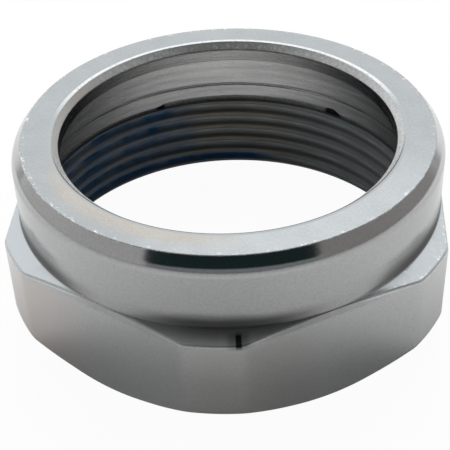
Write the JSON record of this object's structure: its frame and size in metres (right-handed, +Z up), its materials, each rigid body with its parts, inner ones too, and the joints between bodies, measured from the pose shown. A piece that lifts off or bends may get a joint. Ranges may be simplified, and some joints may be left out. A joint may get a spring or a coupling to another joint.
{
  "type": "threaded cap nut",
  "caption": "Chrome-plated brass faucet cap: round collar with an inward lip above a hexagonal body with an internal thread.",
  "frame": {"origin": "centre of the bottom face, where the threaded mouth opens", "axes": "+Z up along the bore's axis, from the threaded mouth to the lip; two corners of the hexagon point along -Y and +Y"},
  "size_m": [0.038, 0.0414, 0.0159],
  "materials": {
    "chrome": "polished"
  },
  "bodies": {
    "root": {"cap": "chrome"}
  },
  "joints": []
}
